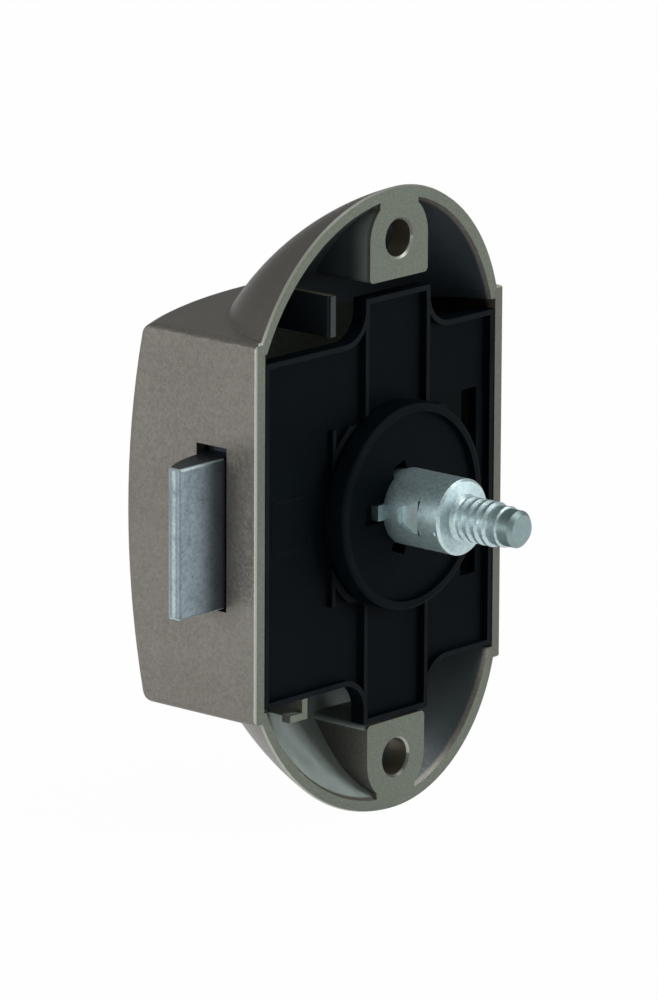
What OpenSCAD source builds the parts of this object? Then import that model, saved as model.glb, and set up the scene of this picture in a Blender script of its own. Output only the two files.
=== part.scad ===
// Push-button lock for a cabinet door: the lock body that sits behind the door.
// Origin: where the spindle axis meets the mounting plane. The door lies towards -Y,
// the latch bolt leaves towards -X and +Z is up. Shown locked: button in, bolt out.

/* [Housing] */
// Reach of the housing from the spindle axis to the latch side
backset = 25; // [24.5:0.5:28]
// Reach of the housing from the spindle axis to the other side
tail_reach = 19.1; // [18.8:0.1:22]
// Height of the box part of the housing
box_height = 46; // [45:0.5:50]
// Depth of the housing on the spindle axis
case_depth = 25.8; // [25.5:0.1:28]
// Wall of the housing
wall = 1.5; // [1.2:0.1:1.8]
// Radius of the crowned back, side to side
crown_across_r = 60; // [55:1:80]
// Radius of the crowned back, top to bottom
crown_along_r = 110; // [100:5:160]
// Rounding where the crowned back meets the top and bottom
end_round = 1.8; // [1:0.1:2.4]
// Rounding where the crowned back meets the sides
side_round = 0.9; // [0.5:0.1:1.2]
// Rounding of the upright edges of the box
edge_round = 0.8; // [0.4:0.1:1.2]
// Rounding of the rim that lies on the door
rim_round = 0.35; // [0.2:0.05:0.4]

/* [Ears] */
// Height of the tip of each ear above the spindle axis
ear_tip = 38; // [37.2:0.1:41]
// Lean of the ear's outside at its tip, from the spindle direction
ear_lean = 19; // [17:1:22]
// Radius of the ear's outside in side view
ear_sweep_r = 36; // [34:1:42]
// How far the ear's ends stand in from the sides of the box
ear_inset = 1.35; // [1:0.05:2]
// Offset of the ear's tip from the spindle axis
ear_shift = 0.3; // [0:0.1:1]
// Distance of the screw holes from the spindle axis
screw_reach = 31.6; // [31:0.1:34]
// Diameter of the screw holes
screw_hole_d = 4.5; // [4:0.1:5]
// Diameter of the recess for the screw head
screw_head_d = 8.6; // [7.5:0.1:9]
// Metal left under the screw head
screw_land = 3; // [2.5:0.1:4]
// Width of each screw boss
boss_width = 10.3; // [9.8:0.1:12]
// Length of the boss from the hole towards the middle
boss_foot = 4.75; // [4:0.05:6]
// Width of the neck where the boss joins the rim
neck_width = 6.8; // [5:0.1:8]

/* [Base plate] */
// How far the base plate and all that it carries lie below the middle of the housing
insert_drop = 0.45; // [0.2:0.05:0.5]
// Thickness of the floor of the base plate
plate_floor = 1.2; // [1:0.1:1.5]
// Height of the lips around the base plate
lip_height = 0.8; // [0.5:0.1:1]
// Width of the lips
lip_width = 0.65; // [0.5:0.05:1]
// Play between the base plate and the housing
plate_play = 0.2; // [0.15:0.05:0.4]
// Reach of the shoulders above and below the spindle axis
shoulder = 20.7; // [19:0.1:20.7]
// Half width of the tongue
tongue_half = 5.75; // [5:0.05:7]
// Gap between the tongue and the upper boss
tongue_gap_top = 1.7; // [0.5:0.1:3]
// Gap between the tongue and the lower boss
tongue_gap_bottom = 0.3; // [0.3:0.1:3]
// Radius of the hollow corner between shoulder and tongue
tongue_fillet = 3.6; // [2:0.1:5]
// Width of the long window
window_width = 2.7; // [2:0.1:3.5]
// Height of the long window
window_height = 22.9; // [16:0.1:26]
// Distance of the window from the inner side wall
window_inset = 2.2; // [1.6:0.1:3]

/* [Guide collar] */
// Diameter of the collar that locates in the door
collar_d = 25; // [24:0.1:26]
// Height of the collar over the mounting plane
collar_rise = 2.5; // [2:0.1:3.5]
// Width of the collar's raised ring
collar_ring = 1.1; // [0.8:0.1:2]
// Depth of the collar's face below its ring
collar_sink = 0.7; // [0.4:0.1:1]
// Diameter of the sleeve behind the collar
sleeve_d = 12.4; // [12:0.1:13]
// Length of the sleeve behind the mounting plane
sleeve_length = 2.15; // [2.1:0.05:2.2]
// Width of the key slots in the collar
key_slot = 2.4; // [2:0.1:3]

/* [Spindle] */
// Diameter of the spindle
spindle_d = 9.2; // [8.8:0.1:9.4]
// Radial play of the spindle in the collar
spindle_play = 0.05; // [0.03:0.01:0.09]
// Travel of the button
travel = 9; // [8:0.1:9]
// Extra press that frees the catch
overtravel = 0.5; // [0.2:0.1:0.6]
// Length of the barrel in front of the mounting plane
barrel_front = 10.3; // [9:0.1:12]
// Depth of the barrel behind the mounting plane
barrel_back = 16.6; // [16.4:0.1:17]
// Crest diameter of the ribbed stem
stem_d = 5.4; // [5:0.1:6.5]
// Depth of the grooves in the stem
stem_groove = 0.35; // [0.3:0.05:0.7]
// Number of ribs on the stem
stem_ribs = 4; // [3:1:5]
// Distance from rib to rib
rib_pitch = 1.2; // [1:0.05:1.25]
// Diameter of the tip
tip_d = 4.5; // [4:0.1:4.7]
// Length of the whole stem
stem_length = 9; // [9:0.1:12]
// Height of the spindle's key
key_height = 0.9; // [0.6:0.1:1]
// Diameter of the cross pin
pin_d = 2; // [1.8:0.1:2.2]
// Depth of the cross pin behind the mounting plane
pin_depth = 14; // [14:0.1:14.2]

/* [Latch bolt] */
// Throw of the bolt
throw = 7.6; // [7:0.1:7.6]
// Height of the bolt
bolt_height = 18.2; // [16:0.1:18.2]
// Distance of the bolt's flat side from the mounting plane
bolt_face = 5; // [4.9:0.05:5.2]
// Thickness of the bolt
bolt_thick = 4.05; // [3.8:0.05:4.2]
// Thickness of the bolt at its nose
nose_thick = 1.9; // [1.4:0.1:2.4]
// Rounding of the bolt's edges
bolt_round = 0.4; // [0.2:0.1:0.6]
// Play between the bolt and its slot
slot_play = 0.35; // [0.3:0.05:0.5]
// Height of the slot in the side wall
slot_height = 19.7; // [19.5:0.1:21]

/* [Slide] */
// Distance from the spindle axis to each arm of the slide
arm_in = 6.6; // [6.6:0.1:6.8]
// Thickness of the arms
arm_thick = 1.8; // [1.6:0.1:2]
// Play of the cross pin in the slots
slot_side_play = 0.25; // [0.15:0.05:0.3]
// Metal around the slots
slot_web = 1.6; // [1.3:0.1:1.7]
// Height of the slide's low bar
bar_height = 2.3; // [2:0.1:2.4]
// Wire of the bolt springs
bolt_wire = 0.44; // [0.4:0.02:0.5]
// Coils of each bolt spring
bolt_coils = 9; // [6:1:12]
// Wire of the spindle spring
spindle_wire = 0.7; // [0.5:0.05:0.8]
// Coils of the spindle spring
spindle_coils = 5; // [4:1:5]
// Outer diameter of the spindle spring
spindle_spring_d = 6.5; // [6:0.1:7.2]

/* [Catch] */
// Distance of the catch lever's pivot from the back of the housing
pivot_inset = 5.3; // [5.2:0.1:5.5]
// Depth of the peg that runs in the cam plate
peg_depth = 6.3; // [6.3:0.1:6.5]
// Sideways step of the cam track over the whole travel
cam_step = 1; // [0.8:0.1:1]
// Diameter of the peg
peg_d = 1.2; // [1:0.1:1.3]
// Thickness of the catch lever
lever_thick = 1.2; // [1:0.1:1.3]
// Width of the catch lever
lever_width = 3.6; // [3:0.1:3.8]
// Diameter of the pivot pin
pivot_d = 1.6; // [1.4:0.1:1.8]

/* [Hidden] */
$fn = 96;

// Colours
paint = [0.56, 0.52, 0.46];
black = [0.12, 0.13, 0.14];
zinc = [0.66, 0.69, 0.71];
steel = [0.75, 0.75, 0.76];
brass = [0.78, 0.66, 0.4];
rubber = [0.2, 0.2, 0.2];

// Clearances that several pieces share
seat_gap = 0.05;
free_gap = 0.3;
over = 1;

// Housing
half_h = box_height / 2;
in_left = -(backset - wall);
in_right = tail_reach - wall;
in_half = half_h - wall;

// Ear: its outside is turned about an axis that lies in front of the door
ear_axis_y = -ear_sweep_r * sin(ear_lean);
ear_axis_z = ear_tip - ear_sweep_r * cos(ear_lean);
ear_end_rise = 0.5;
function turned(y, z, ay, az) = sqrt(pow(y - ay, 2) + pow(z - az, 2));
function arc_r(run, drop) = (run * run + drop * drop) / (2 * drop);
ear_left = backset - ear_inset - ear_shift;
ear_right = tail_reach - ear_inset + ear_shift;
ear_end_r = turned(0, half_h + ear_end_rise, ear_axis_y, ear_axis_z);
ear_drop = ear_sweep_r - ear_end_r;
ear_left_r = arc_r(ear_left, ear_drop);
ear_right_r = arc_r(ear_right, ear_drop);

// Hollow of the ear: a bowl turned about an axis just in front of the door
bowl_axis_y = -20;
bowl_axis_z = ear_tip - 29.85;
bowl_low = half_h - 2.2;
bowl_r = turned(0, ear_tip - wall, bowl_axis_y, bowl_axis_z);
bowl_end_r = turned(0, half_h + ear_end_rise, bowl_axis_y, bowl_axis_z);
bowl_drop = bowl_r - bowl_end_r;
bowl_left_r = arc_r(ear_left - wall, bowl_drop);
bowl_right_r = arc_r(ear_right - wall, bowl_drop);

// Base plate
plate_front = 0.05;
floor_front = plate_front + lip_height;
plate_back = floor_front + plate_floor;
plate_left = in_left + plate_play;
plate_right = in_right - plate_play;
boss_in = screw_reach - boss_foot;
tongue_top = boss_in - tongue_gap_top + insert_drop;
tongue_bottom = boss_in - tongue_gap_bottom - insert_drop;

// Spindle and collar
spindle_r = spindle_d / 2;
bore_r = spindle_r + spindle_play;
sleeve_r = sleeve_d / 2;
key_r = spindle_r + key_height;
key_half = 0.95;
buffer_thick = 0.8;
clip_thick = 0.7;
clip_front = sleeve_length + buffer_thick + seat_gap + 0.1 + travel;
clip_r = sleeve_r;
groove_r = spindle_r - 0.9;

// Slide
ratio = throw / travel;
pin_r = pin_d / 2;
slot_r = pin_r + slot_side_play;
arm_out = arm_in + arm_thick;
pin_half = arm_out + free_gap;
low_y = plate_back + 2 * free_gap;
slot_start = [overtravel * ratio, pin_depth + overtravel];
slot_end = [-throw, pin_depth - travel];
bridge_x = clip_r + overtravel * ratio + free_gap;
bridge_thick = 2.3;
arm_front = slot_end[0] - slot_r - slot_web;

// Bolt: a nose through the side wall, a cross bar inside it and two wings
shoulder_x = in_left + overtravel * ratio + free_gap;
bar_back = -(key_r + free_gap + 2 * throw);
wing_in = pin_half + free_gap;
wing_thick = 4.6;
wing_out = wing_in + wing_thick;
spring_z = (wing_in + wing_out) / 2;
wing_depth = bolt_thick + 0.75;
wing_face = bolt_face - 0.35;
wing_mid = wing_face + wing_depth / 2;
wing_end = bar_back + 6.2;
bolt_spring_r = 1.42;
pocket_r = bolt_spring_r + 0.28;
pocket_end = shoulder_x + 1.5;
flange_x = wing_end + throw + 1.3;
flange_thick = 1.5;
rail_in = wing_out + 1.4;
rail_out = rail_in + 1.2;
lug_out = rail_in - free_gap;
lug_x = wing_end - 4.5;
lug_length = 1.5;
hook_length = 1.2;
guide_pin_r = 0.8;
guide_pin_tip = pocket_end + throw + free_gap;
nose_tip = -backset - throw;
bevel_x = -backset + 0.6;
bevel_r = arc_r(bevel_x - nose_tip, bolt_thick - nose_thick);
bevel_y = bolt_face + bolt_thick - bevel_r;

// Catch
pivot_depth = case_depth - pivot_inset;
flat_x = spindle_r - 1.7;
cam_half = 2.2;
cam_back = barrel_back - free_gap;
cam_front = peg_depth - overtravel - peg_d / 2 - 0.9;
track_depth = 0.7;
cam_face = spindle_r - 0.65;
lever_x = spindle_r + 0.35;
lever_back = lever_x + lever_thick;
washer_thick = 0.25;
leaf_thick = 0.25;
leaf_x = lever_back + seat_gap + washer_thick + seat_gap;
bracket_x = leaf_x + leaf_thick + seat_gap;
bracket_thick = 2.6;
bracket_front = pivot_depth - 2.5;
pivot_r = pivot_d / 2;
pivot_head_r = pivot_r + 0.6;
peg_r = peg_d / 2;
seat_pad = case_depth - wall - 0.6;
seat_thick = 0.5;

// Upright outline drawn in the X-Z plane and given depth along Y
module deep(y0, y1) {
    translate([0, y1, 0]) rotate([90, 0, 0]) linear_extrude(y1 - y0) children();
}

// The place of the base plate and of all that moves behind it
module lowered() {
    translate([0, 0, -insert_drop]) children();
}

// Outline drawn in the X-Y plane and given height along Z
module tall(z0, z1) {
    translate([0, 0, z0]) linear_extrude(z1 - z0) children();
}

module ring(r_out, r_in) {
    difference() {
        circle(r_out);
        circle(r_in);
    }
}

// Bar with round ends between two points
module lane(a, b, r) {
    d = b - a;
    translate(a) rotate(atan2(d[1], d[0])) {
        circle(r);
        translate([norm(d), 0]) circle(r);
        translate([0, -r]) square([norm(d), 2 * r]);
    }
}

// Rectangle with round corners
module round_box(x0, x1, z0, z1, r) {
    translate([x0 + r, z0]) square([x1 - x0 - 2 * r, z1 - z0]);
    translate([x0, z0 + r]) square([x1 - x0, z1 - z0 - 2 * r]);
    for (x = [x0 + r, x1 - r], z = [z0 + r, z1 - r]) translate([x, z]) circle(r);
}

// Half of a crowned outline: flat end at h, crown of radius crown_r, rounded by c
module crown_half(reach, crown_r, h, c) {
    zc = h - c;
    xc = reach - crown_r + sqrt(pow(crown_r - c, 2) - zc * zc);
    zt = crown_r * zc / (crown_r - c);
    intersection() {
        translate([reach - crown_r, 0]) circle(crown_r, $fn = 360);
        square([reach, zt]);
    }
    square([xc, h]);
    translate([xc, zc]) circle(c);
}

// The crowned back, turned about an upright axis; inset by gap
module crown_upright(gap, c) {
    translate([0, case_depth - crown_across_r, 0]) rotate_extrude($fn = 240)
        for (m = [0, 1]) mirror([0, m])
            crown_half(crown_across_r - gap, crown_along_r - gap, half_h - gap, c);
}

// The same crown turned about a level axis, for the rounding at the sides
module crown_level() {
    lift = 0.1;
    translate([0, case_depth - crown_along_r, 0]) rotate([0, 90, 0]) rotate_extrude($fn = 360) {
        crown_half(crown_along_r + lift, crown_across_r + lift, tail_reach, side_round);
        mirror([0, 1])
            crown_half(crown_along_r + lift, crown_across_r + lift, backset, side_round);
    }
}

// Corner of an outline that begins at y = 0, from x0 to x1, rounded on both sides
module rim_outline(x0, x1) {
    translate([x0, rim_round]) square([x1 - x0, case_depth]);
    translate([x0 + rim_round, 0]) square([x1 - x0 - 2 * rim_round, case_depth]);
    for (x = [x0 + rim_round, x1 - rim_round]) translate([x, rim_round]) circle(rim_round, $fn = 32);
}

module box_outside() {
    intersection() {
        deep(0, case_depth + over)
            round_box(-backset, tail_reach, -half_h, half_h, edge_round);
        tall(-half_h, half_h) rim_outline(-backset, tail_reach);
        translate([-backset, 0, 0]) rotate([90, 0, 90]) linear_extrude(backset + tail_reach)
            mirror([1, -1]) rim_outline(-half_h, half_h);
        crown_upright(0, end_round);
        crown_level();
    }
}

// Space inside the box; shrink keeps a lining of the wall
module box_space(shrink) {
    intersection() {
        deep(-over, case_depth)
            translate([in_left + shrink, -in_half + shrink])
                square([in_right - in_left - 2 * shrink, 2 * (in_half - shrink)]);
        crown_upright(wall + shrink, end_round / 2);
    }
}

// Outline of two arcs that share a crest, down to where the ear has left the box
module twin_arc(crest, left_r, right_r) {
    deep_in = 17;
    intersection() {
        translate([crest - left_r, -ear_shift]) circle(left_r, $fn = 240);
        translate([crest - deep_in, -ear_shift - left_r]) square([deep_in, left_r]);
    }
    intersection() {
        translate([crest - right_r, -ear_shift]) circle(right_r, $fn = 240);
        translate([crest - deep_in, -ear_shift]) square([deep_in, right_r]);
    }
}

module about_x(y, z) {
    translate([0, y, z]) rotate([0, 90, 0]) rotate_extrude($fn = 360) children();
}

// Outside of the ear turned over and set back, which breaks the edge of the rim
module ear_rim_break() {
    inner = ear_sweep_r - 17;
    translate([0, 2 * rim_round, 0]) about_x(-ear_axis_y, ear_axis_z) {
        twin_arc(ear_sweep_r, ear_left_r, ear_right_r);
        translate([0, -tail_reach]) square([inner, backset + tail_reach]);
    }
}

module ear_outside() {
    intersection() {
        about_x(ear_axis_y, ear_axis_z) twin_arc(ear_sweep_r, ear_left_r, ear_right_r);
        ear_rim_break();
        translate([-backset, 0, half_h - 1]) cube([backset + tail_reach, case_depth, half_h]);
        crown_upright_tall(end_round);
    }
}

// The crown carried on past the top and bottom of the box
module crown_upright_tall(gap) {
    translate([0, case_depth - crown_across_r, 0]) rotate_extrude($fn = 240)
        intersection() {
            translate([crown_across_r - crown_along_r - gap, 0]) circle(crown_along_r, $fn = 360);
            translate([0, -ear_tip - over]) square([crown_across_r, 2 * (ear_tip + over)]);
        }
}

module ear_bowl() {
    intersection() {
        about_x(bowl_axis_y, bowl_axis_z) twin_arc(bowl_r, bowl_left_r, bowl_right_r);
        translate([-backset, -over, bowl_low]) cube([backset + tail_reach, case_depth, half_h]);
    }
}

module boss_outline() {
    foot_round = 0.6;
    boss_r = boss_width / 2;
    translate([-boss_r, boss_in + foot_round])
        square([boss_width, boss_foot - foot_round]);
    translate([-boss_r + foot_round, boss_in])
        square([boss_width - 2 * foot_round, boss_foot]);
    for (x = [-boss_r + foot_round, boss_r - foot_round])
        translate([x, boss_in + foot_round]) circle(foot_round, $fn = 32);
    intersection() {
        translate([0, screw_reach]) circle(boss_r);
        translate([-boss_r, screw_reach - over]) square([boss_width, boss_width]);
    }
    translate([-neck_width / 2, screw_reach]) square([neck_width, ear_tip - screw_reach]);
}

module ear_boss() {
    intersection() {
        deep(0, case_depth) boss_outline();
        about_x(ear_axis_y, ear_axis_z) twin_arc(ear_sweep_r, ear_left_r, ear_right_r);
        ear_rim_break();
        crown_upright_tall(end_round);
    }
}

module screw_holes() {
    chamfer = 0.25;
    for (side = [-1, 1]) translate([0, 0, side * screw_reach]) rotate([-90, 0, 0]) {
        translate([0, 0, -over]) cylinder(h = case_depth, d = screw_hole_d);
        translate([0, 0, -over])
            cylinder(h = over + chamfer, r1 = screw_hole_d / 2 + over + chamfer,
                     r2 = screw_hole_d / 2);
        translate([0, 0, screw_land]) cylinder(h = case_depth, d = screw_head_d);
    }
}

// Ribs of the lower and upper pocket that hold the base plate
module pocket_ribs() {
    rib = 0.9;
    hook_x = -16.7;
    hook_low = -half_h - 0.7;
    hook_top = -shoulder - insert_drop - seat_gap;
    rib_face = 0.1;
    foot = 2.1;
    foot_depth = 1.3;
    stop_x = -12;
    stop_low = half_h - 1.4;
    stop_top = half_h + 3.5;
    rib_depth = case_depth / 2;
    translate([hook_x, rib_face, hook_low]) cube([rib, rib_depth, hook_top - hook_low]);
    translate([hook_x - foot, rib_face, hook_low]) cube([foot + rib / 2, foot_depth, rib]);
    translate([stop_x, rib_face, stop_low]) cube([rib, rib_depth, stop_top - stop_low]);
}

module floor_ribs() {
    rib_gap = free_gap;
    wing_back = wing_face + wing_depth + rib_gap;
    arm_back = slot_start[1] + slot_r + slot_web + rib_gap;
    for (side = [-1, 1]) {
        deep(wing_back, case_depth) translate([in_left + over, min(side * wing_in, side * wing_out)])
            square([flange_x - in_left - 2 * over, wing_thick]);
        deep(arm_back, case_depth) translate([-3, min(side * arm_in, side * arm_out)])
            square([in_right - 1, arm_thick]);
    }
    deep(seat_pad, case_depth) circle(spindle_spring_d / 2 + 1.6);
    difference() {
        deep(bracket_front, case_depth) translate([bracket_x, -3]) square([bracket_thick, 6]);
        translate([bracket_x - over, pivot_depth, 0]) rotate([0, 90, 0])
            cylinder(h = bracket_thick + 2 * over, r = pivot_r + 0.02);
    }
}

module housing() {
    slot_low = bolt_face - slot_play;
    color(paint) difference() {
        union() {
            difference() {
                union() {
                    box_outside();
                    ear_outside();
                    mirror([0, 0, 1]) ear_outside();
                }
                box_space(0);
                ear_bowl();
                mirror([0, 0, 1]) ear_bowl();
            }
            ear_boss();
            mirror([0, 0, 1]) ear_boss();
            intersection() {
                lowered() floor_ribs();
                crown_upright(wall / 2, end_round / 2);
            }
            intersection() {
                pocket_ribs();
                union() {
                    about_x(ear_axis_y, ear_axis_z)
                        twin_arc(ear_sweep_r - wall / 2, ear_left_r - wall / 2, ear_right_r - wall / 2);
                    mirror([0, 0, 1]) about_x(ear_axis_y, ear_axis_z)
                        twin_arc(ear_sweep_r - wall / 2, ear_left_r - wall / 2, ear_right_r - wall / 2);
                }
            }
        }
        screw_holes();
        translate([-backset - over, slot_low, -slot_height / 2])
            cube([wall + 2 * over, bolt_thick + 2 * slot_play, slot_height]);
    }
}

// Outline of the base plate, drawn in by s
module plate_outline(s) {
    translate([plate_left + s, -shoulder + s])
        square([plate_right - plate_left - 2 * s, 2 * (shoulder - s)]);
    translate([-tongue_half + s, -tongue_bottom + s])
        square([2 * (tongue_half - s), tongue_top + tongue_bottom - 2 * s]);
    r = tongue_fillet;
    for (side = [-1, 1], up = [-1, 1]) {
        z = up * (shoulder - s);
        difference() {
            translate([side == 1 ? tongue_half - s - over : -tongue_half - r,
                       up == 1 ? z - over : z - r - s])
                square([r + s + over, r + s + over]);
            translate([side * (tongue_half + r), z + up * (r + s)]) circle(r + s);
        }
    }
}

module base_plate() {
    hole_r = sleeve_r + 0.1;
    window_x = plate_right - window_inset - window_width;
    ridge = 0.6;
    ridge_x = 10.7;
    recess_r = collar_d / 2 + 0.25;
    color(black) difference() {
        union() {
            deep(floor_front, plate_back) plate_outline(0);
            deep(plate_front, floor_front + over / 4) difference() {
                plate_outline(0);
                plate_outline(lip_width);
            }
            deep(plate_front, floor_front + over / 4) intersection() {
                plate_outline(0);
                for (x = [-tongue_half, tongue_half - ridge])
                    translate([x, -tongue_bottom]) square([ridge, tongue_top + tongue_bottom]);
            }
            deep(plate_front + 0.2, floor_front + over / 4)
                translate([-ridge_x - ridge, -ridge_x]) square([ridge, 2 * ridge_x]);
            deep(plate_front + 0.2, floor_front + over / 4)
                intersection() {
                    circle(recess_r + 0.8);
                    translate([-ridge_x, -ridge_x]) square(2 * ridge_x);
                }
            wing_pads();
        }
        deep(-over, floor_front) circle(recess_r);
        deep(-over, plate_back + over) circle(hole_r);
        deep(-over, plate_back + over)
            translate([window_x, -window_height / 2]) square([window_width, window_height]);
    }
}

// Runners on the back of the base plate for the bolt's wings and the slide
module wing_pads() {
    for (side = [-1, 1]) {
        deep(plate_back - over / 2, wing_face - free_gap)
            translate([plate_left + over, min(side * (wing_in + 0.5), side * (wing_out - 0.5))])
                square([flange_x - plate_left - 2 * over, wing_thick - 1]);
        deep(plate_back - over / 2, low_y - free_gap)
            translate([arm_front, min(side * arm_in, side * arm_out)])
                square([plate_right - arm_front - 3, arm_thick]);
    }
}

module guide_collar() {
    face_y = -collar_rise + collar_sink;
    edge = 0.4;
    relief = 0.1;
    color(black) difference() {
        translate([0, sleeve_length, 0]) rotate([90, 0, 0]) rotate_extrude() difference() {
            union() {
                square([sleeve_r, sleeve_length + over]);
                translate([0, sleeve_length - floor_front + seat_gap])
                    square([collar_d / 2 - edge, collar_rise + floor_front - seat_gap]);
                translate([0, sleeve_length + relief])
                    square([collar_d / 2, collar_rise - relief - edge]);
                translate([collar_d / 2 - edge, sleeve_length + collar_rise - edge])
                    circle(edge, $fn = 32);
            }
            translate([0, sleeve_length - face_y])
                square([collar_d / 2 - collar_ring, collar_rise]);
            translate([0, -over]) square([bore_r, 2 * sleeve_length + collar_rise + over]);
        }
        for (turn = [-110, 110, 180]) rotate([0, turn, 0])
            translate([0, -collar_rise - over, -key_slot / 2])
                cube([sleeve_r - 0.5, sleeve_length + collar_rise + 2 * over, key_slot]);
        translate([-sleeve_r - 1.5, -collar_rise - over, -key_slot / 2])
            cube([sleeve_r, over + collar_sink + 0.9, key_slot]);
    }
}

module buffer_ring() {
    color(rubber) deep(sleeve_length + seat_gap, sleeve_length + seat_gap + buffer_thick)
        difference() {
            ring(sleeve_r, bore_r + 0.25);
            translate([-sleeve_r - over, -key_slot / 2]) square([sleeve_r, key_slot]);
        }
}

// Barrel, ribbed stem and tip, as a profile of radius against length
module spindle_turned() {
    neck = 0.75;
    crest = stem_d / 2;
    root = crest - stem_groove;
    start = barrel_front + neck;
    rib_top = 0.4;
    rib_side = (rib_pitch - rib_top) / 3;
    tip_len = 2.1;
    end = barrel_front + stem_length;
    ribs = [for (i = [0 : stem_ribs - 1], p = [[0, root], [rib_side, crest],
            [rib_side + rib_top, crest], [2 * rib_side + rib_top, root]])
            [p[1], start + i * rib_pitch + p[0]]];
    chamfer = 0.5;
    rotate([90, 0, 0]) rotate_extrude() polygon(concat(
        [[0, -barrel_back], [spindle_r - 0.3, -barrel_back], [spindle_r, -barrel_back + 0.3],
         [spindle_r, barrel_front - 0.3], [spindle_r - 0.3, barrel_front],
         [root + 0.5, barrel_front + 0.2],
         [root + 0.15, barrel_front + 0.5]],
        ribs,
        [[root + 0.15, end - tip_len - 0.15], [tip_d / 2, end - tip_len],
         [tip_d / 2, end - chamfer], [tip_d / 2 - chamfer, end], [0, end]]));
}

module spindle() {
    spigot = 1.9;
    color(zinc) difference() {
        union() {
            spindle_turned();
            translate([-key_r, -collar_rise + collar_sink, -key_half])
                cube([key_height + 0.6, clip_front - 1.2 + collar_rise - collar_sink, 2 * key_half]);
            translate([0, barrel_back - over, 0]) rotate([-90, 0, 0])
                cylinder(h = over + spigot, r = spindle_spring_d / 2 - spindle_wire - 0.25);
            translate([-spindle_r * 0.8, -barrel_front + 0.9, -1.2]) sphere(0.8, $fn = 32);
        }
        // seat of the stop clip
        deep(clip_front - 0.05, clip_front + clip_thick + 0.05) ring(spindle_r + over, groove_r);
        // seat of the cam plate
        translate([flat_x, cam_front - 0.05, -cam_half - 0.05])
            cube([spindle_r, cam_back - cam_front + 0.1, 2 * cam_half + 0.1]);
        translate([cam_face, cam_front - 0.05, -spindle_r])
            cube([spindle_r, barrel_back - cam_front + over, spindle_d]);
        // hole of the cross pin
        translate([0, pin_depth, 0]) cylinder(h = spindle_d + 2, r = pin_r + 0.02, center = true);
        // flat on the latch side for holding the spindle while the button goes on
        translate([-spindle_r - over, 0, 0]) rotate([90, 0, 90])
            linear_extrude(over + 0.7)
                polygon([[-4.2, 1.05], [-7.1, 2.2], [-7.1, -2.2], [-4.2, -1.05]]);
    }
}

module cross_pin() {
    color(steel) translate([0, pin_depth, 0])
        cylinder(h = 2 * pin_half, r = pin_r, center = true);
}

module stop_clip() {
    mouth = 3.5;
    color(steel) deep(clip_front, clip_front + clip_thick) difference() {
        ring(clip_r, groove_r + 0.05);
        translate([0, -mouth]) square([clip_r + over, 2 * mouth]);
    }
}

// Plate with a sunken loop track: the peg rides round the island in its middle
module cam_plate() {
    low = peg_depth - overtravel;
    high = peg_depth + travel;
    lane_r = peg_r + 0.25;
    rim = 0.2;
    back_z = -(cam_half - lane_r - rim);
    low_bend = 2.6;
    high_bend = 2.2;
    color(steel) difference() {
        translate([flat_x + seat_gap, cam_front, -cam_half])
            cube([cam_face - flat_x - seat_gap, cam_back - cam_front, 2 * cam_half]);
        translate([cam_face - track_depth, 0, 0]) rotate([90, 0, 90]) linear_extrude(over) {
            lane([low, -cam_step * overtravel / travel], [high, cam_step], lane_r);
            lane([low, -cam_step * overtravel / travel], [low + low_bend, back_z], lane_r);
            lane([low + low_bend, back_z], [high - high_bend, back_z], lane_r);
            lane([high - high_bend, back_z], [high, cam_step], lane_r);
        }
    }
}

// Unbroken wire coil along Z from z = 0 to length
function coil_point(t, coils, r, length, wire) =
    [r * cos(360 * coils * t), r * sin(360 * coils * t), wire / 2 + (length - wire) * t];
function unit(v) = v / norm(v);

module coil(length, outer_r, wire, coils) {
    r = outer_r - wire / 2;
    sides = 6;
    rings = 8 * coils;
    function at(i) = coil_point(i / rings, coils, r, length, wire);
    function ahead(i) = unit(at(i + 0.5) - at(i - 0.5));
    function outward(i) = unit([at(i)[0], at(i)[1], 0]);
    points = [for (i = [0 : rings], k = [0 : sides - 1])
        let (n = outward(i), b = cross(ahead(i), n), a = 360 * k / sides)
        at(i) + wire / 2 * (cos(a) * n + sin(a) * unit(b))];
    skin = [for (i = [0 : rings - 1], k = [0 : sides - 1])
        let (k2 = (k + 1) % sides, p = i * sides, q = p + sides)
        each [[p + k, q + k, q + k2], [p + k, q + k2, p + k2]]];
    caps = [for (k = [1 : sides - 2])
        each [[0, k, k + 1], [rings * sides, rings * sides + k + 1, rings * sides + k]]];
    polyhedron(points, concat(skin, caps));
    echo(str("least gap between coils: ", (length - wire) / coils - wire));
}

module spindle_spring() {
    start = barrel_back + free_gap;
    end = seat_pad - seat_gap - seat_thick - free_gap / 2;
    color(steel) translate([0, start, 0]) rotate([-90, 0, 0])
        coil(end - start, spindle_spring_d / 2, spindle_wire, spindle_coils);
}

module spring_seat() {
    rim = 0.6;
    boss = 1.5;
    color(steel) {
        deep(seat_pad - seat_gap - seat_thick, seat_pad - seat_gap)
            circle(spindle_spring_d / 2 + rim);
        deep(seat_pad - seat_thick - boss, seat_pad - seat_thick)
            circle(spindle_spring_d / 2 - spindle_wire - free_gap);
    }
}

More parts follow.
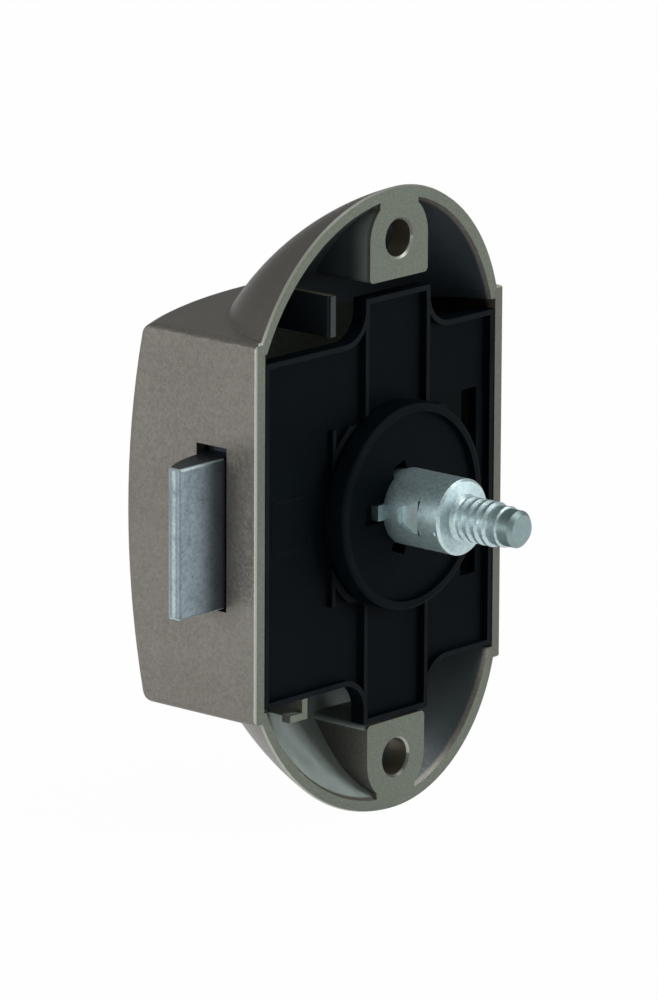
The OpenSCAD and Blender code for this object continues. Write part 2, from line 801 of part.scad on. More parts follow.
// Slide: two arms with sloping slots, a bridge behind the spindle, and two hooked
// rails that pull the bolt in but let it be pushed in by itself
module slide_yoke() {
    color(black) {
        difference() {
            union() {
                for (side = [-1, 1]) tall(min(side * arm_in, side * arm_out),
                                          max(side * arm_in, side * arm_out))
                    intersection() {
                        union() {
                            lane(slot_start, slot_end, slot_r + slot_web);
                            translate([slot_end[0] - slot_r, low_y])
                                square([bridge_x + bridge_thick - slot_end[0] + slot_r, bar_height]);
                        }
                        translate([arm_front - over, low_y])
                            square([bridge_x + bridge_thick - arm_front + over, case_depth]);
                    }
                for (side = [0, 1]) mirror([0, 0, side]) flange_and_rail();
                translate([bridge_x, low_y, -arm_out])
                    cube([bridge_thick, bar_height, 2 * arm_out]);
            }
            tall(-wing_in, wing_in) lane(slot_start, slot_end, slot_r);
            for (side = [-1, 1]) translate([flange_x - over, wing_mid, side * spring_z])
                rotate([0, 90, 0]) cylinder(h = flange_thick + 2 * over, r = guide_pin_r + 0.02);
        }
    }
}

module flange_and_rail() {
    root_top = 11.2;
    tall(arm_out - over, wing_in + 0.4) translate([flange_x, low_y])
        square([flange_thick, root_top - low_y]);
    tall(wing_in, rail_out) translate([flange_x, wing_face])
        square([flange_thick, wing_depth]);
    tall(rail_in, rail_out) translate([lug_x - free_gap - hook_length, wing_face])
        square([flange_x - lug_x + free_gap + hook_length + flange_thick, wing_depth]);
    tall(wing_out + free_gap, rail_out) translate([lug_x - free_gap - hook_length, wing_face])
        square([hook_length, wing_depth]);
}

module spring_guide_pins() {
    head = 0.55;
    shank = flange_x + flange_thick + 0.02 - guide_pin_tip;
    color(steel) for (side = [-1, 1]) translate([guide_pin_tip, wing_mid, side * spring_z])
        rotate([0, 90, 0]) {
            cylinder(h = shank + head / 2, r = guide_pin_r);
            translate([0, 0, shank]) cylinder(h = head, r = guide_pin_r + head);
        }
}

// Outline of the nose seen from above, before its curved back is cut
module nose_outline() {
    edge_y = bolt_face + nose_thick - 0.7 * bolt_round;
    xc = nose_tip + bolt_round;
    translate([xc, bolt_face + bolt_round]) circle(bolt_round, $fn = 32);
    polygon([[nose_tip, bolt_face + bolt_round], [nose_tip, edge_y],
             [nose_tip + bolt_thick / 2, edge_y + 0.87 * bolt_thick],
             [shoulder_x, edge_y + 0.87 * bolt_thick], [shoulder_x, bolt_face],
             [xc, bolt_face], [xc, bolt_face + bolt_round]]);
}

// The nose: flat towards the door, curved towards the back, with its edges broken
module nose() {
    half = bolt_height / 2;
    crest = bevel_r - 0.75 * bolt_round;
    end = half - 0.75 * bolt_round;
    intersection() {
        tall(-half, half) nose_outline();
        deep(bolt_face, bolt_face + bolt_thick)
            round_box(nose_tip, shoulder_x + over, -half, half, bolt_round);
        translate([nose_tip, 0, 0]) rotate([90, 0, 90]) linear_extrude(shoulder_x - nose_tip)
            round_box(bolt_face, bolt_face + 2 * bolt_thick, -half, half, bolt_round);
        union() {
            translate([bevel_x, bevel_y, 0]) rotate_extrude($fn = 360)
                polygon([[0, -half], [crest, -half], [bevel_r, -end], [bevel_r, end],
                         [crest, half], [0, half]]);
            translate([bevel_x, bolt_face, -half])
                cube([shoulder_x - bevel_x, bolt_thick, bolt_height]);
        }
    }
}

module latch_bolt() {
    color(zinc) difference() {
        union() {
            nose();
            translate([shoulder_x, wing_face, -wing_out])
                cube([bar_back - shoulder_x, wing_depth, 2 * wing_out]);
            for (side = [0, 1]) mirror([0, 0, side]) {
                translate([shoulder_x, wing_face, wing_in])
                    cube([wing_end - shoulder_x, wing_depth, wing_thick]);
                translate([lug_x, wing_face, wing_out - over])
                    cube([lug_length, wing_depth, lug_out - wing_out + over]);
            }
        }
        for (side = [-1, 1]) translate([pocket_end, wing_mid, side * spring_z])
            rotate([0, 90, 0]) cylinder(h = backset, r = pocket_r);
    }
}

module bolt_spring(side) {
    start = pocket_end + free_gap / 2;
    end = flange_x - free_gap / 2;
    color(steel) translate([start, wing_mid, side * spring_z]) rotate([0, 90, 0])
        coil(end - start, bolt_spring_r, bolt_wire, bolt_coils);
}

module bolt_spring_upper() { bolt_spring(1); }
module bolt_spring_lower() { bolt_spring(-1); }

module catch_lever() {
    color(steel) translate([lever_x, 0, 0]) rotate([90, 0, 90]) linear_extrude(lever_thick)
        difference() {
            union() {
                lane([peg_depth, 0], [pivot_depth - 3, 0], lever_width / 2 - 0.5);
                lane([pivot_depth - 3, 0], [pivot_depth, 0], lever_width / 2);
            }
            translate([pivot_depth, 0]) circle(pivot_r + 0.05);
            translate([peg_depth, 0]) circle(peg_r + 0.02);
        }
}

module catch_peg() {
    color(steel) translate([cam_face - track_depth + 0.15, peg_depth, 0]) rotate([0, 90, 0])
        cylinder(h = lever_back - cam_face + track_depth - 0.15, r = peg_r);
}

module catch_pivot_pin() {
    head = 0.45;
    color(steel) translate([lever_x - seat_gap - head, pivot_depth, 0]) rotate([0, 90, 0]) {
        cylinder(h = head, r = pivot_head_r);
        cylinder(h = bracket_x + bracket_thick - lever_x + head, r = pivot_r);
    }
}

module catch_washer() {
    color(brass) translate([lever_back + seat_gap, pivot_depth, 0]) rotate([0, 90, 0])
        difference() {
            cylinder(h = washer_thick, r = pivot_r + 0.8);
            translate([0, 0, -over]) cylinder(h = washer_thick + 2 * over, r = pivot_r + 0.05);
        }
}

// Leaf spring that keeps the lever's peg down in the track
module catch_spring() {
    half = 1.2;
    reach = 9;
    end = 2;
    tip = 1.5;
    touch = 0.1;
    bow = leaf_x - lever_back - touch;
    color(steel) difference() {
        tall(-half, half) {
            polygon([[leaf_x, pivot_depth + end], [leaf_x + leaf_thick, pivot_depth + end],
                     [leaf_x + leaf_thick, pivot_depth - reach],
                     [leaf_x + leaf_thick - bow, pivot_depth - reach - tip],
                     [leaf_x - bow, pivot_depth - reach - tip], [leaf_x, pivot_depth - reach]]);
        }
        translate([0, pivot_depth, 0]) rotate([0, 90, 0]) cylinder(h = in_right, r = pivot_r + 0.05);
    }
}

housing();
lowered() base_plate();
lowered() guide_collar();
lowered() buffer_ring();
lowered() spring_seat();
lowered() catch_pivot_pin();
lowered() catch_washer();
lowered() catch_spring();
lowered() spindle_spring();
lowered() spindle();
lowered() cross_pin();
lowered() stop_clip();
lowered() cam_plate();
lowered() slide_yoke();
lowered() spring_guide_pins();
lowered() latch_bolt();
lowered() bolt_spring_upper();
lowered() bolt_spring_lower();
lowered() catch_lever();
lowered() catch_peg();
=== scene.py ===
# Push-button lock body: looks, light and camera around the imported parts
import bpy
import bmesh
import math
from mathutils import Matrix, Vector


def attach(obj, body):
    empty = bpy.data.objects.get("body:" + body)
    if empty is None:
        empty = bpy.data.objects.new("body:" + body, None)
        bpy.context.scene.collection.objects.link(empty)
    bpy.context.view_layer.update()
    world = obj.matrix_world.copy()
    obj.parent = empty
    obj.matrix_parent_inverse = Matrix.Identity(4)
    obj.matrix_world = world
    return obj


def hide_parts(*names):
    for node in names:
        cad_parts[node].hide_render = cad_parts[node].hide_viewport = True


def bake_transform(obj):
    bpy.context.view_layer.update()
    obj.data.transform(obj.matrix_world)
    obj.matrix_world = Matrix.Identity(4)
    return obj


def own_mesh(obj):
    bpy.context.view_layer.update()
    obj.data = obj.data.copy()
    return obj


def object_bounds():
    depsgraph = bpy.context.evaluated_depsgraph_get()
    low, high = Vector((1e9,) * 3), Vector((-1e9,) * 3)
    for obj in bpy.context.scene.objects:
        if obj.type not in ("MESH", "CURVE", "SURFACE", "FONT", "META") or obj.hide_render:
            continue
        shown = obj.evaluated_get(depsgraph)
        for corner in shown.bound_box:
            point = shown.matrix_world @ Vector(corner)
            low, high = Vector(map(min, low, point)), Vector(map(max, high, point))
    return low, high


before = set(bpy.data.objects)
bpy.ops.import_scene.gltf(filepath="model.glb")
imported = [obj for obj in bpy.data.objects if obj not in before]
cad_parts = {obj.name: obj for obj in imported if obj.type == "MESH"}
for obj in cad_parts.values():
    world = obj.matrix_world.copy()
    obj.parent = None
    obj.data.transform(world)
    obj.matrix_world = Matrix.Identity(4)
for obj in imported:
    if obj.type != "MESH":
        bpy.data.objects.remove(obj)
cadBox = [list(corner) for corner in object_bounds()]
print("loaded", len(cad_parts), "parts")

# Texture scales that make a pattern about 1 mm wide
patternScale = {"noise": 500, "cells": 1000}
# Contrast of a pattern: the two values between which it goes from one look to the other
soft, crisp = (0.30, 0.70), (0.36, 0.64)


class Wire:
    # One output of a node, so that patterns can be written as sums and products
    def __init__(self, finish, socket):
        self.finish, self.socket = finish, socket

    def join(self, how, other, swap=False):
        pair = (other, self) if swap else (self, other)
        return self.finish.node("ShaderNodeMath", {"operation": how}, pair)

    def __add__(self, other): return self.join("ADD", other)
    def __sub__(self, other): return self.join("SUBTRACT", other)
    def __rsub__(self, other): return self.join("SUBTRACT", other, True)
    def __mul__(self, other): return self.join("MULTIPLY", other)
    def __gt__(self, other): return self.join("GREATER_THAN", other)
    def __lt__(self, other): return self.join("LESS_THAN", other)
    def power(self, other): return self.join("POWER", other)
    def least(self, other): return self.join("MINIMUM", other)
    def most(self, other): return self.join("MAXIMUM", other)
    def size(self): return self.finish.node("ShaderNodeMath", {"operation": "ABSOLUTE"}, (self,))
    def near(self, place, reach): return (self - place).size() < reach
    def within(self, low, high): return (self > low) * (self < high)

    def ramp(self, low, high, start=0.0, end=1.0):
        # Smooth change from start to end while the value goes from low to high
        return self.finish.node("ShaderNodeMapRange", {"interpolation_type": "SMOOTHSTEP"},
                                {"Value": self, "From Min": low, "From Max": high,
                                 "To Min": start, "To Max": end})


class Finish:
    # A material and short ways to add nodes to it
    def __init__(self, name):
        self.material = bpy.data.materials.new(name)
        self.material.use_nodes = True
        self.tree = self.material.node_tree
        self.shader = next(n for n in self.tree.nodes if n.type == "BSDF_PRINCIPLED")
        self.place = self.tree.nodes.new("ShaderNodeTexCoord")

    def set(self, socket, value):
        if isinstance(value, Wire):
            self.tree.links.new(value.socket, socket)
        elif value is not None:
            short = isinstance(value, tuple) and len(value) < len(socket.default_value)
            socket.default_value = (*value, 1) if short else value

    def node(self, kind, settings, values, out=0):
        made = self.tree.nodes.new(kind)
        for key, value in settings.items():
            setattr(made, key, value)
        pairs = values.items() if isinstance(values, dict) else enumerate(values)
        for key, value in pairs:
            self.set(made.inputs[key], value)
        return Wire(self, made.outputs[out])

    def point(self):
        return Wire(self, self.place.outputs["Object"])

    def facing(self):
        return Wire(self, self.place.outputs["Normal"])

    def axes(self, vector):
        made = self.tree.nodes.new("ShaderNodeSeparateXYZ")
        self.set(made.inputs[0], vector)
        return [Wire(self, made.outputs[i]) for i in range(3)]

    def stretched(self, scale):
        return self.node("ShaderNodeMapping", {}, {"Vector": self.point(), "Scale": scale})

    def noise(self, mm, detail=2.0, rough=0.5, warp=0.0, at=None):
        # Cloudy pattern whose blots are about that many millimetres wide
        return self.node("ShaderNodeTexNoise", {}, {"Vector": at or self.point(), "Detail": detail,
                                                    "Scale": patternScale["noise"] / mm,
                                                    "Roughness": rough, "Distortion": warp})

    def cells(self, mm, out="Distance"):
        return self.node("ShaderNodeTexVoronoi", {}, {"Vector": self.point(),
                                                      "Scale": patternScale["cells"] / mm}, out)

    def blend(self, share, first, second):
        return self.node("ShaderNodeMix", {"data_type": "RGBA"}, {0: share, 6: first, 7: second}, 2)

    def bump(self, height, deep, strength=1.0, under=None):
        # deep is the height in millimetres that a value of 1 stands for
        return self.node("ShaderNodeBump", {}, {"Strength": strength, "Distance": deep / 1000,
                                                "Height": height, "Normal": under})

    def dress(self, values, *nodes):
        for key, value in values.items():
            self.set(self.shader.inputs[key], value)
        for name in nodes:
            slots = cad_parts[name].data.materials
            slots.clear()
            slots.append(self.material)


# How much of a normal lies along an axis on faces that look straight, nearly or half that way
straight, nearly, halfway = (0.8, 0.95), (0.6, 0.9), (0.5, 0.8)


def against(part, limits):
    # 1 on faces that look against the axis
    return part.ramp(-limits[0], -limits[1])


def roundness(nx, ny, nz):
    # 1 on edges and other slanting faces, 0 on faces that lie square to an axis
    return nx.size().most(ny.size()).most(nz.size()).ramp(0.97, 0.85)


# The painted die-cast case: fine metallic paint outside, bare cast skin in the pockets with painted light
# and painted shade
case = {"warm": (0.190, 0.178, 0.158), "warmDark": (0.098, 0.090, 0.076), "doorwardReflectTint": (0.130, 0.160, 0.122),
        "flake": (0.36, 0.36, 0.32), "edge": (0.46, 0.48, 0.42), "skin": (0.500, 0.590, 0.550),
        "paintedShade": (0.016, 0.024, 0.030), "bore": (0.085, 0.075, 0.045),
        "grainMm": 0.21, "flakeMm": 0.11, "cloudMm": 7, "mottleMm": 2.4, "grainDeep": 0.016,
        "mottleDeep": 0.03, "metal": 0.62, "skinMetal": -0.30, "rough": 0.38, "roughSpread": (-0.05, 0.08),
        "coat": 0.05, "coatRough": 0.35}
# How far each mask changes the colour under it
caseShare = {"cloud": 0.20, "grain": 0.38, "flake": 0.22, "farRim": 0.6, "slope": 0.75, "rimHighlight": 0.8,
             "ribEnd": 0.96, "inside": 0.75, "flank": 0.45, "pocketLightTop": 0.12, "pocketLightLow": (0.06, 0.80)}
# Where the masks lie, in metres
casePlace = {"rimY": 0.0004, "outward": 0.0005, "farRimX": (0.0165, 0.0180), "slopeZ": 0.0232,
             "pocketZ": 0.0205, "pocketY": (0.0003, 0.0007), "middle": 0.001, "leftRight": 0.004,
             "bossX": 0.0056, "flankY": (0.0035, 0.0006), "screwZ": 0.0316, "screwReach": 0.0025,
             "boreX": 0.00235, "boreY": (0.0002, 0.0006), "ribX": -0.0116, "ribHalf": 0.0006,
             "ribZ": (0.018, 0.0275), "insideX": 0.0180, "insideY": (0.0015, 0.0120),
             "insideZ": (0.0185, 0.0228)}


def paintCase():
    f = Finish("casePaint")
    share, at = caseShare, casePlace
    x, y, z = f.axes(f.point())
    nx, ny, nz = f.axes(f.facing())
    side = z.size()
    grain = f.noise(case["grainMm"], 3, 0.65)
    cloud = f.noise(case["cloudMm"], 3, 0.55)
    mottle = f.noise(case["mottleMm"], 3, 0.55, 0.4)
    spark = f.axes(f.cells(case["flakeMm"], "Color"))[0].ramp(0.80, 1.0)
    # Paint with painted reflection tint: greener on faces that look towards the door; darker on the far rim,
    # and painted shade on the slopes of the ears
    doorward = against(ny, nearly)
    body = f.blend(doorward, case["warm"], case["doorwardReflectTint"])
    body = f.blend(doorward * x.ramp(*at["farRimX"], 0.0, share["farRim"]), body, case["warmDark"])
    paint = f.blend(cloud.ramp(*soft, 0.0, share["cloud"]), body, case["warmDark"])
    paint = f.blend(grain.ramp(*crisp, share["grain"], 0.0), paint, case["warmDark"])
    paint = f.blend(spark * share["flake"], paint, case["flake"])
    # Painted shade on the slopes of the ears
    slopeShade = (nz.size() * ny).ramp(0.05, 0.35) * (side > at["slopeZ"])
    paint = f.blend(slopeShade * share["slope"], paint, case["warmDark"])
    # Painted highlight along the rounded edge of the rim
    outward = (nz * z).most(nx * x) > at["outward"]
    rimHighlight = (y < at["rimY"]) * ny.ramp(-0.97, -0.85) * ny.ramp(-0.1, -0.35) * outward
    paint = f.blend(rimHighlight * share["rimHighlight"], paint, case["edge"])
    # The end of the straight rib and the inner walls behind the plate lie in shade
    onRib = x.near(at["ribX"], at["ribHalf"])
    ribEnd = onRib * z.within(*at["ribZ"]) * (y < at["rimY"])
    inside = (x.size() < at["insideX"]) * y.within(*at["insideY"]) * z.within(*at["insideZ"])
    paint = f.blend((ribEnd * share["ribEnd"]).most(inside * share["inside"]), paint, case["paintedShade"])
    # Pockets of the ears: faces behind the rim that look back towards the axis, the boss and the rib
    inward = (nz * z.ramp(-at["middle"], at["middle"], -1, 1) * -1).ramp(0.01, 0.08)
    sideways = nx.size().ramp(*halfway)
    flank = nx.ramp(*halfway).most(sideways * (z > 0)) * (x.size() < at["bossX"])
    rib = onRib * (z > 0) * sideways.most(against(ny, straight))
    hollow = y.ramp(*at["pocketY"]) * inward.most(flank).most(rib) * (side > at["pocketZ"])
    leftRight = (at["leftRight"], -at["leftRight"])
    # Painted light and shade in the pockets: the bare skin is lit brightest in the lower left pocket and
    # faintly elsewhere, the rest is painted near-black shade
    pocketLight = x.ramp(*leftRight, 0.0, share["pocketLightTop"]) + (z < 0) * x.ramp(*leftRight, *share["pocketLightLow"])
    bareSkinLitAndShaded = f.blend(pocketLight * mottle.ramp(*soft, 0.75, 1.0), case["paintedShade"], case["skin"])
    # Painted light on the left flanks near the rim, fading with depth
    bareSkinLitAndShaded = f.blend(flank * (x < 0) * y.ramp(*at["flankY"], 0.0, share["flank"]), bareSkinLitAndShaded, case["skin"])
    # Painted shade on the rib in the upper pocket
    bareSkinLitAndShaded = f.blend(rib, bareSkinLitAndShaded, case["paintedShade"])
    # Walls of the screw holes
    bore = y.ramp(*at["boreY"]) * side.near(at["screwZ"], at["screwReach"]) * (x.size() < at["boreX"])
    colour = f.blend(bore, f.blend(hollow, paint, bareSkinLitAndShaded), case["bore"])
    fine = f.bump((grain - 0.5) * (1 - rimHighlight), case["grainDeep"], 0.8)
    f.dress({"Base Color": colour, "Metallic": hollow * case["skinMetal"] + case["metal"],
             "Roughness": grain.ramp(*soft, *case["roughSpread"]) * (1 - rimHighlight) + case["rough"],
             "Normal": f.bump(mottle * hollow, case["mottleDeep"], 0.5, fine),
             "Coat Weight": case["coat"], "Coat Roughness": case["coatRough"]}, "housing")


paintCase()
print("case painted")

# Black mouldings: fine matt skin, painted highlight on the lips, and the mark of an ejector on the plate
moulding = {"base": (0.0010, 0.0026, 0.0038), "pale": (0.0026, 0.0054, 0.0076),
            "lipHighlight": (0.0085, 0.0115, 0.0135), "grainMm": 0.14, "cloudMm": 5, "grainDeep": 0.01,
            "rough": 0.5, "roughSpread": 0.05, "gloss": 0.025,
            "lipY": (-0.0005, 0.0003), "collarY": -0.0020, "collarShare": 0.4,
            "markX": -0.0182, "markHalf": (0.0021, 0.00189), "markR": 0.0013,
            "markLine": (0.00024, 0.00006), "markDeep": 0.10}


def mouldBlack():
    f = Finish("blackMoulding")
    m = moulding
    x, y, z = f.axes(f.point())
    ny = f.axes(f.facing())[1]
    grain = f.noise(m["grainMm"], 2, 0.6)
    cloud = f.noise(m["cloudMm"], 3, 0.55)
    share = cloud.ramp(0.35, 0.7, 0.0, 0.6) + grain.ramp(0.4, 0.6, 0.0, 0.3)
    colour = f.blend(share, m["base"], m["pale"])
    # Painted highlight on the lips of the plate and the collar
    plateLip = y.within(*m["lipY"]) * against(ny, straight)
    collarLip = (y < m["collarY"]) * ny.ramp(-0.3, -0.6) * m["collarShare"]
    colour = f.blend((plateLip + collarLip) * cloud.ramp(0.3, 0.6, 0.4, 1.0), colour, m["lipHighlight"])
    # The ejector mark is a thin line around a square with round corners
    across = (x - m["markX"]).size() - m["markHalf"][0]
    along = z.size() - m["markHalf"][1]
    across, along = across.most(0), along.most(0)
    reach = (across * across + along * along).power(0.5)
    mark = (reach - m["markR"]).size().ramp(*m["markLine"])
    f.dress({"Base Color": colour, "Specular IOR Level": m["gloss"],
             "Roughness": cloud.ramp(*soft, m["rough"] - m["roughSpread"], m["rough"] + m["roughSpread"]),
             "Normal": f.bump(mark * -1, m["markDeep"], 0.6, f.bump(grain, m["grainDeep"], 0.5))},
            "base_plate", "guide_collar", "slide_yoke")


mouldBlack()

# Raw die-cast zinc: blue-grey skin with clouds, dark specks, a few fine pits, worn edges with painted
# highlight, and painted shade
zinc = {"cloudMm": 2.2, "grainMm": 0.2, "speckMm": 0.42, "pitMm": 0.9, "cloudDeep": 0.04, "grainDeep": 0.015,
        "roughSpread": (0.1, -0.04)}
spindle = {"light": (0.47, 0.61, 0.63), "dark": (0.26, 0.36, 0.39), "speck": (0.13, 0.19, 0.19),
           "edge": (0.70, 0.84, 0.84), "shadow": (0.008, 0.012, 0.015), "rough": 0.40, "metal": 0.78,
           "specks": 0.5, "flatX": -0.0038, "flatY": (-0.0071, -0.0039), "flatShare": 0.5,
           "shadowY": (-0.0064, -0.0067), "faceShare": 0.25, "tipY": -0.0172, "tipShare": 0.7,
           "rootY": -0.0002, "rootReach": (0.0030, 0.0004), "rootShare": 0.45}
bolt = {"light": (0.290, 0.355, 0.390), "dark": (0.150, 0.188, 0.215), "speck": (0.030, 0.038, 0.052),
        "edge": (0.48, 0.60, 0.60), "rough": 0.42, "metal": 0.75, "specks": 0.6,
        "slotShadeX": (-0.0295, -0.0254), "slotShadeShare": 0.62, "toneSpread": (-0.06, 0.06), "topShadeShare": 0.85,
        "tipX": -0.0323, "noseShare": 0.35, "noseLineY": 0.0060, "noseLineReach": (0.0004, 0.0001), "noseLineShare": 0.7,
        "wallX": (-0.0250, -0.0247), "hiddenShare": 0.95}


def zincSkin(name, tone):
    f = Finish("castZinc_" + name)
    cloud = f.noise(zinc["cloudMm"], 5, 0.66, 0.3)
    grain = f.noise(zinc["grainMm"], 3, 0.65)
    share = cloud.ramp(0.32, 0.62) * 0.5 + grain.ramp(0.38, 0.62) * 0.5
    colour = f.blend(share, tone["dark"], tone["light"])
    speck = f.noise(zinc["speckMm"], 4, 0.7).ramp(0.44, 0.30) * cloud.ramp(0.64, 0.42)
    return f, cloud, grain, speck, f.blend(speck * tone["specks"], colour, tone["speck"])


def dressZinc(f, name, tone, colour, cloud, grain, speck):
    pits = f.cells(zinc["pitMm"]).ramp(0.03, 0.12)
    fine = f.bump(grain + pits * 0.4 - speck * 0.5, zinc["grainDeep"], 0.5)
    f.dress({"Base Color": colour, "Metallic": tone["metal"],
             "Roughness": cloud.ramp(*soft, *(tone["rough"] + change for change in zinc["roughSpread"])),
             "Normal": f.bump(cloud, zinc["cloudDeep"], 0.5, fine)}, name)


def castSpindle():
    s = spindle
    f, cloud, grain, speck, colour = zincSkin("spindle", s)
    x, y = f.axes(f.point())[:2]
    nx, ny, nz = f.axes(f.facing())
    # The holding flat is lighter, with painted shadow at its square end
    flat = (x < s["flatX"]) * (nx < -0.985) * y.within(*s["flatY"])
    colour = f.blend(flat * s["flatShare"], colour, s["edge"])
    colour = f.blend(flat * y.ramp(*s["shadowY"]), colour, s["shadow"])
    # Painted light on faces towards the door; turned edges and rib crests are worn bright with painted
    # highlight; darker at the tip, painted shade at the root
    colour = f.blend(ny.ramp(-0.85, -0.97) * s["faceShare"], colour, s["edge"])
    wornAndHighlight = roundness(nx, ny, nz) * ny.ramp(-0.2, -0.5)
    colour = f.blend(wornAndHighlight * grain.ramp(0.3, 0.55, 0.2, 0.6), colour, s["edge"])
    colour = f.blend((y < s["tipY"]) * s["tipShare"], colour, s["speck"])
    rootShade = (y - s["rootY"]).size().ramp(*s["rootReach"], 0.0, s["rootShare"])
    dressZinc(f, "spindle", s, f.blend(rootShade, colour, s["speck"]), cloud, grain, speck)


def castBolt():
    b = bolt
    f, cloud, grain, speck, colour = zincSkin("bolt", b)
    x, y = f.axes(f.point())[:2]
    nx, ny, nz = f.axes(f.facing())
    nose = (x < b["tipX"]) * nx.ramp(-0.4, -0.8)
    # Painted shade towards the slot, on the upper end and on the nose, with random tone
    slotShadeAndTone = x.ramp(*b["slotShadeX"], 0.0, b["slotShadeShare"]) + grain.ramp(*soft, *b["toneSpread"])
    colour = f.blend(slotShadeAndTone.most(0).least(1), colour, b["speck"])
    colour = f.blend(nz.ramp(0.7, 0.95) * b["topShadeShare"], colour, b["speck"])
    colour = f.blend(nose * b["noseShare"], colour, b["dark"])
    # Worn bright, with painted highlight, along the edges and down the middle of the nose
    wornAndHighlight = roundness(nx, ny, nz) * nz.size().ramp(0.15, 0.4)
    noseRubAndHighlight = nose * (y - b["noseLineY"]).size().ramp(*b["noseLineReach"]) * cloud.ramp(0.35, 0.6) * b["noseLineShare"]
    wornAndHighlight = wornAndHighlight.most(noseRubAndHighlight) * grain.ramp(0.25, 0.5, 0.3, 1.0) * (x < b["wallX"][0])
    colour = f.blend(wornAndHighlight, colour, b["edge"])
    # Painted shade, nearly black, on the part inside the case
    colour = f.blend(x.ramp(*b["wallX"], 0.0, b["hiddenShare"]), colour, b["speck"])
    dressZinc(f, "latch_bolt", b, colour, cloud, grain, speck)


castSpindle()
castBolt()

# Small inner parts: drawn steel, brass and rubber
inner = {"steel": (0.42, 0.42, 0.43), "brass": (0.60, 0.43, 0.18), "rubber": (0.012, 0.012, 0.013),
         "dark": 0.8, "streakMm": 0.5, "stretch": (1, 0.15, 1), "cloudMm": 0.8, "grainMm": 0.2,
         "steelRough": (0.22, 0.38), "brassRough": (0.25, 0.4), "rubberRough": (0.6, 0.75),
         "rubberDeep": 0.01}


def metalPart(f, kind, pattern, *nodes):
    bright = inner[kind]
    dull = tuple(part * inner["dark"] for part in bright)
    f.dress({"Base Color": f.blend(pattern, dull, bright), "Metallic": 1.0,
             "Roughness": pattern.ramp(*soft, *inner[kind + "Rough"])}, *nodes)


def innerParts():
    f = Finish("drawnSteel")
    metalPart(f, "steel", f.noise(inner["streakMm"], 3, 0.6, at=f.stretched(inner["stretch"])),
              "spring_seat", "catch_pivot_pin", "catch_spring", "spindle_spring", "cross_pin", "stop_clip",
              "cam_plate", "spring_guide_pins", "bolt_spring_upper", "bolt_spring_lower", "catch_lever",
              "catch_peg")
    f = Finish("plainBrass")
    metalPart(f, "brass", f.noise(inner["cloudMm"], 3, 0.5), "catch_washer")
    f = Finish("blackRubber")
    grain = f.noise(inner["grainMm"], 2, 0.5)
    f.dress({"Base Color": inner["rubber"], "Roughness": grain.ramp(*soft, *inner["rubberRough"]),
             "Normal": f.bump(grain, inner["rubberDeep"], 0.5)}, "buffer_ring")


innerParts()
print("materials done")

# The coil springs push the parts; each is shown as a copy with its own mesh: the bolt springs ride with the
# slide unit and the spindle spring stays where it is
springs = [{"node": "bolt_spring_upper", "name": "boltSpringUpper"},
           {"node": "bolt_spring_lower", "name": "boltSpringLower"},
           {"node": "spindle_spring", "name": "spindleSpring"}]


def fitSprings():
    for spring in springs:
        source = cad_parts[spring["node"]]
        made = bpy.data.objects.new(spring["name"], source.data.copy())
        bpy.context.scene.collection.objects.link(made)
        made.matrix_world = source.matrix_world
        if spring["node"] == "spindle_spring":
            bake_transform(made)
        else:
            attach(made, "slide_unit")
            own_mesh(made)
        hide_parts(spring["node"])


fitSprings()
print("springs fitted")

# Floor, lamps and camera
studio = {"floorSize": 6.0, "floorGap": 0.0001, "floorColour": (0.80, 0.80, 0.80), "floorRough": 0.9,
          "floorGloss": 0.1, "worldLevel": 0.2, "glow": 0.98, "white": (1, 1, 1, 1)}
lamps = [
    {"name": "keyLeft", "at": (-1.85, 0.30, 0.15), "size": 1.1, "watts": 33},
    {"name": "front", "at": (1.1, -1.65, 0.55), "size": 1.0, "watts": 19},
    {"name": "topFront", "at": (0.5, -0.6, 1.8), "size": 1.2, "watts": 17},
]
photoCamera = {"az": -48.588, "el": 13.929, "roll": 0.280, "distance": 0.95978,
               "target": (-0.012242, 0, 0.002168), "focalPixels": 8191.6, "tallPixels": 1000,
               "sensorMm": 36, "clip": (0.05, 50)}


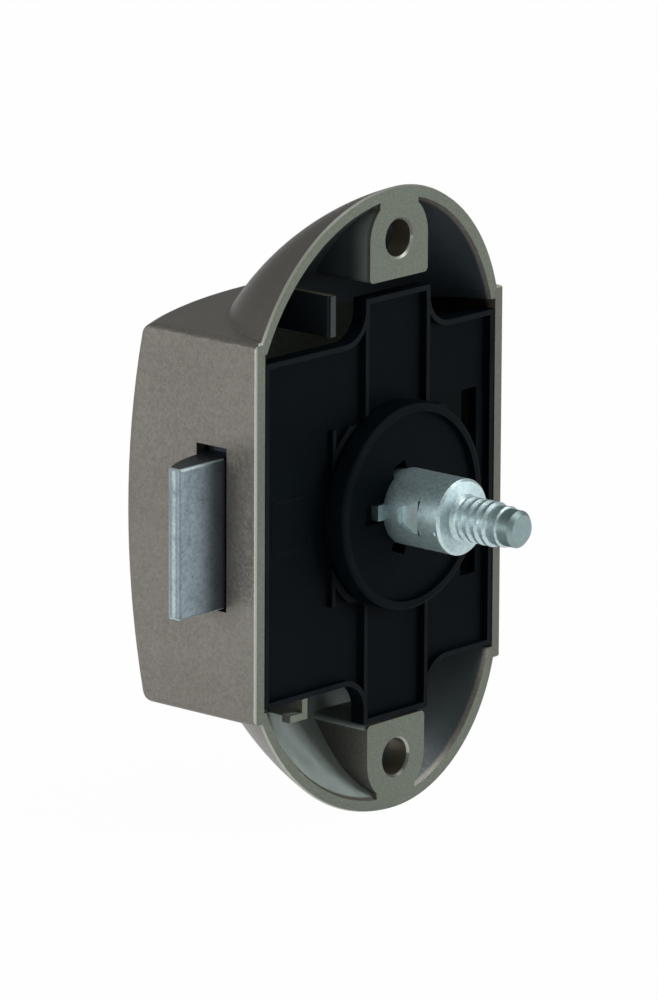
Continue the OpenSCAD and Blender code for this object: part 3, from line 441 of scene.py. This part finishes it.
def buildFloor():
    shape = bmesh.new()
    bmesh.ops.create_grid(shape, x_segments=1, y_segments=1, size=studio["floorSize"] / 2)
    bmesh.ops.translate(shape, verts=shape.verts, vec=(0, 0, cadBox[0][2] - studio["floorGap"]))
    mesh = bpy.data.meshes.new("floor")
    shape.to_mesh(mesh)
    shape.free()
    floor = bpy.data.objects.new("floor", mesh)
    bpy.context.scene.collection.objects.link(floor)
    f = Finish("paleFloor")
    f.dress({"Base Color": studio["floorColour"], "Roughness": studio["floorRough"],
             "Specular IOR Level": studio["floorGloss"]})
    # The camera and mirrors see the floor almost white, with a trace of the shadow
    rays = f.tree.nodes.new("ShaderNodeLightPath")
    seen, glossy, through = (Wire(f, rays.outputs[name]) for name in
                             ("Is Camera Ray", "Is Glossy Ray", "Is Transmission Ray"))
    glow = f.node("ShaderNodeEmission", {}, {"Color": studio["white"]})
    mix = f.node("ShaderNodeMixShader", {}, (seen.most(glossy).most(through) * studio["glow"],
                                             Wire(f, f.shader.outputs[0]), glow))
    out = next(n for n in f.tree.nodes if n.type == "OUTPUT_MATERIAL")
    f.set(out.inputs["Surface"], mix)
    mesh.materials.append(f.material)


def setLamps():
    for lamp in lamps:
        data = bpy.data.lights.new(lamp["name"], "AREA")
        data.shape, data.size, data.energy = "SQUARE", lamp["size"], lamp["watts"]
        made = bpy.data.objects.new(lamp["name"], data)
        made.location = lamp["at"]
        made.rotation_euler = (-Vector(lamp["at"])).to_track_quat("-Z", "Y").to_euler()
        bpy.context.scene.collection.objects.link(made)
    world = bpy.data.worlds.new("studio")
    bpy.context.scene.world = world
    world.use_nodes = True
    back = next(n for n in world.node_tree.nodes if n.type == "BACKGROUND")
    back.inputs["Color"].default_value = studio["white"]
    back.inputs["Strength"].default_value = studio["worldLevel"]


def setCamera():
    c = photoCamera
    az, el, roll = (math.radians(c[k]) for k in ("az", "el", "roll"))
    back = Vector((math.sin(az) * math.cos(el), -math.cos(az) * math.cos(el), math.sin(el)))
    right = Vector((math.cos(az), math.sin(az), 0))
    up = back.cross(right)
    across = right * math.cos(roll) + up * math.sin(roll)
    upright = up * math.cos(roll) - right * math.sin(roll)
    data = bpy.data.cameras.new("photoCamera")
    data.sensor_width, data.lens = c["sensorMm"], c["focalPixels"] / c["tallPixels"] * c["sensorMm"]
    data.clip_start, data.clip_end = c["clip"]
    camera = bpy.data.objects.new("photoCamera", data)
    turn = Matrix((across, upright, back)).transposed().to_4x4()
    camera.matrix_world = Matrix.Translation(Vector(c["target"]) + back * c["distance"]) @ turn
    bpy.context.scene.collection.objects.link(camera)
    bpy.context.scene.camera = camera
    bpy.context.scene.view_settings.view_transform = "Standard"


buildFloor()
setLamps()
setCamera()
print("stage and camera set")
